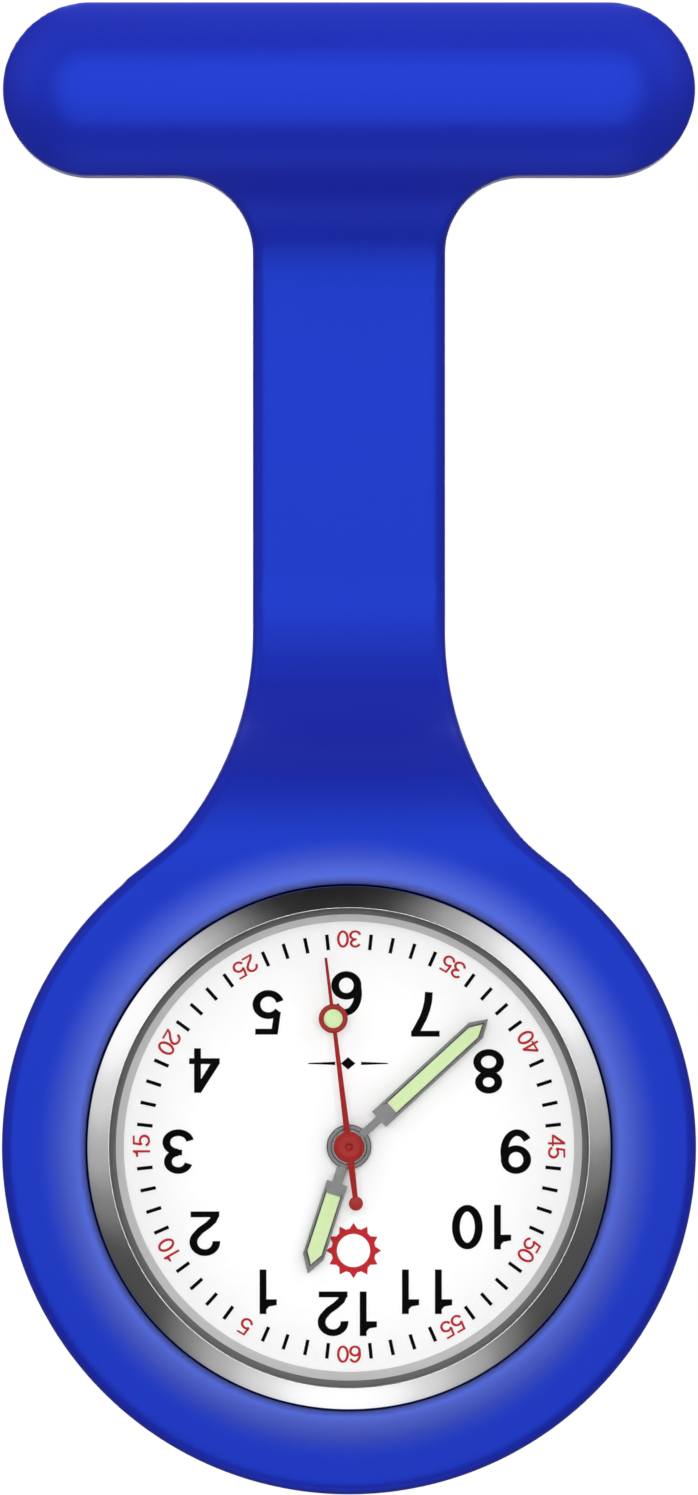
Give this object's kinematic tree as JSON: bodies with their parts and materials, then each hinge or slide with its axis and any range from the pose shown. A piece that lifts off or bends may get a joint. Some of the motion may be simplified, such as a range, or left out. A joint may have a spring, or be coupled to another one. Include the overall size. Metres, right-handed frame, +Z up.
{
  "type": "fob watch",
  "caption": "Round quartz watch head with three hands in the pocket of a soft silicone T-bar holder, with a brooch pin behind the bar.",
  "frame": {"origin": "middle of the grip bar's back face, where the brooch pin holds the watch to cloth", "axes": "+Z up as the watch hangs, +X to the reader's right facing the dial, the dial faces -Y; twelve is at -Z, because the dial hangs upside down"},
  "size_m": [0.04, 0.0123, 0.0861],
  "materials": {
    "silicone": "satin",
    "polished_steel": "polished",
    "brushed_steel": "satin",
    "hand_steel": "satin",
    "rehaut": "satin",
    "dial_white": "matte",
    "lume": "matte",
    "second_red": "satin",
    "glass": "polished",
    "black_rubber": "matte",
    "nylon": "matte",
    "brass": "satin",
    "copper": "satin",
    "board": "matte",
    "magnet": "matte"
  },
  "bodies": {
    "holder": {"holder_bar": "silicone", "holder_strap": "silicone", "brooch_base": "polished_steel", "brooch_rivet": "polished_steel"},
    "needle": {"brooch_needle": "polished_steel"},
    "catch": {"catch_rotor": "polished_steel"},
    "pocket": {"holder_pocket": "silicone"},
    "watch_head": {"case_middle": "brushed_steel", "bezel": "polished_steel", "crystal": "glass", "crystal_gasket": "nylon", "rehaut_ring": "rehaut", "dial": "dial_white", "case_back": "brushed_steel", "case_back_gasket": "black_rubber", "movement_ring": "nylon", "main_plate": "brass", "train_bridge": "brushed_steel", "bridge_screw_1": "brushed_steel", "bridge_screw_2": "brushed_steel", "stator": "brushed_steel", "coil": "copper", "coil_core": "brushed_steel", "dial_washer": "brass", "circuit_board": "board", "quartz_can": "brushed_steel", "timing_chip": "black_rubber", "battery": "polished_steel", "battery_clamp": "brushed_steel", "clamp_screw": "brushed_steel"},
    "clutch": {"clutch_wheel": "brushed_steel"},
    "crown": {"crown": "polished_steel", "crown_gasket": "black_rubber", "setting_stem": "brushed_steel"},
    "lever": {"setting_lever": "brushed_steel"},
    "seconds": {"seconds_wheel": "brass", "second_hand": "second_red", "second_hand_lume": "lume"},
    "intermediate": {"intermediate_wheel": "brass"},
    "rotor": {"rotor": "magnet"},
    "third": {"third_wheel": "brass"},
    "minutes": {"centre_wheel": "brass", "minute_hand": "hand_steel", "minute_hand_lume": "lume"},
    "minute_wheel": {"minute_wheel": "brass"},
    "hours": {"hour_wheel": "brass", "hour_hand": "hand_steel", "hour_hand_lume": "lume"}
  },
  "joints": [
    {"name": "strap_flex", "type": "hinge", "parent": "holder", "child": "pocket", "pos_m": [0, -0.0012, -0.02], "axis": [-1, 0, 0], "range_deg": [0, 100], "stiffness_Nm_per_rad": 0.0018, "deforming": ["holder_strap"]},
    {"name": "needle_swing", "type": "hinge", "parent": "holder", "child": "needle", "pos_m": [-0.0147, 0.0015, 0], "axis": [0, 0, 1], "range_deg": [0, 75]},
    {"name": "catch_turn", "type": "hinge", "parent": "holder", "child": "catch", "pos_m": [0.0134, 0.0015, 0], "axis": [1, 0, 0], "range_deg": [0, 135]},
    {"name": "head_slide", "type": "slide", "parent": "pocket", "child": "watch_head", "axis": [0, -1, 0], "range_m": [0, 0.012]},
    {"name": "crown_spin", "type": "hinge", "parent": "watch_head", "child": "clutch", "pos_m": [-0.0058, -0.004, -0.06107], "axis": [-1, 0, 0], "continuous": true},
    {"name": "crown_pull", "type": "slide", "parent": "clutch", "child": "crown", "axis": [-1, 0, 0], "range_m": [0, 0.0008]},
    {"name": "lever_turn", "type": "hinge", "parent": "watch_head", "child": "lever", "pos_m": [-0.0081, -0.005, -0.05907], "axis": [0, 1, 0], "range_deg": [0, 24]},
    {"name": "second_hand_spin", "type": "hinge", "parent": "watch_head", "child": "seconds", "pos_m": [0, -0.004, -0.06107], "axis": [0, 1, 0], "continuous": true},
    {"name": "intermediate_spin", "type": "hinge", "parent": "watch_head", "child": "intermediate", "pos_m": [0.00247, -0.004, -0.06197], "axis": [0, 1, 0], "continuous": true},
    {"name": "rotor_spin", "type": "hinge", "parent": "watch_head", "child": "rotor", "pos_m": [0.00386, -0.004, -0.06362], "axis": [0, 1, 0], "continuous": true},
    {"name": "third_spin", "type": "hinge", "parent": "watch_head", "child": "third", "pos_m": [-0.00254, -0.004, -0.06199], "axis": [0, 1, 0], "continuous": true},
    {"name": "minute_hand_spin", "type": "hinge", "parent": "watch_head", "child": "minutes", "pos_m": [0, -0.004, -0.06107], "axis": [0, 1, 0], "continuous": true},
    {"name": "minute_wheel_spin", "type": "hinge", "parent": "watch_head", "child": "minute_wheel", "pos_m": [-0.00264, -0.004, -0.06107], "axis": [0, 1, 0], "continuous": true},
    {"name": "hour_hand_spin", "type": "hinge", "parent": "watch_head", "child": "hours", "pos_m": [0, -0.004, -0.06107], "axis": [0, 1, 0], "continuous": true}
  ],
  "couplings": [
    {"joint": "lever_turn", "follows": "crown_pull", "rad_per_m": 500},
    {"joint": "intermediate_spin", "follows": "second_hand_spin", "ratio": -6},
    {"joint": "rotor_spin", "follows": "second_hand_spin", "ratio": 30},
    {"joint": "third_spin", "follows": "second_hand_spin", "ratio": -0.125},
    {"joint": "minute_hand_spin", "follows": "second_hand_spin", "ratio": 0.016667},
    {"joint": "minute_wheel_spin", "follows": "second_hand_spin", "ratio": -0.0055556},
    {"joint": "hour_hand_spin", "follows": "second_hand_spin", "ratio": 0.0013889}
  ]
}
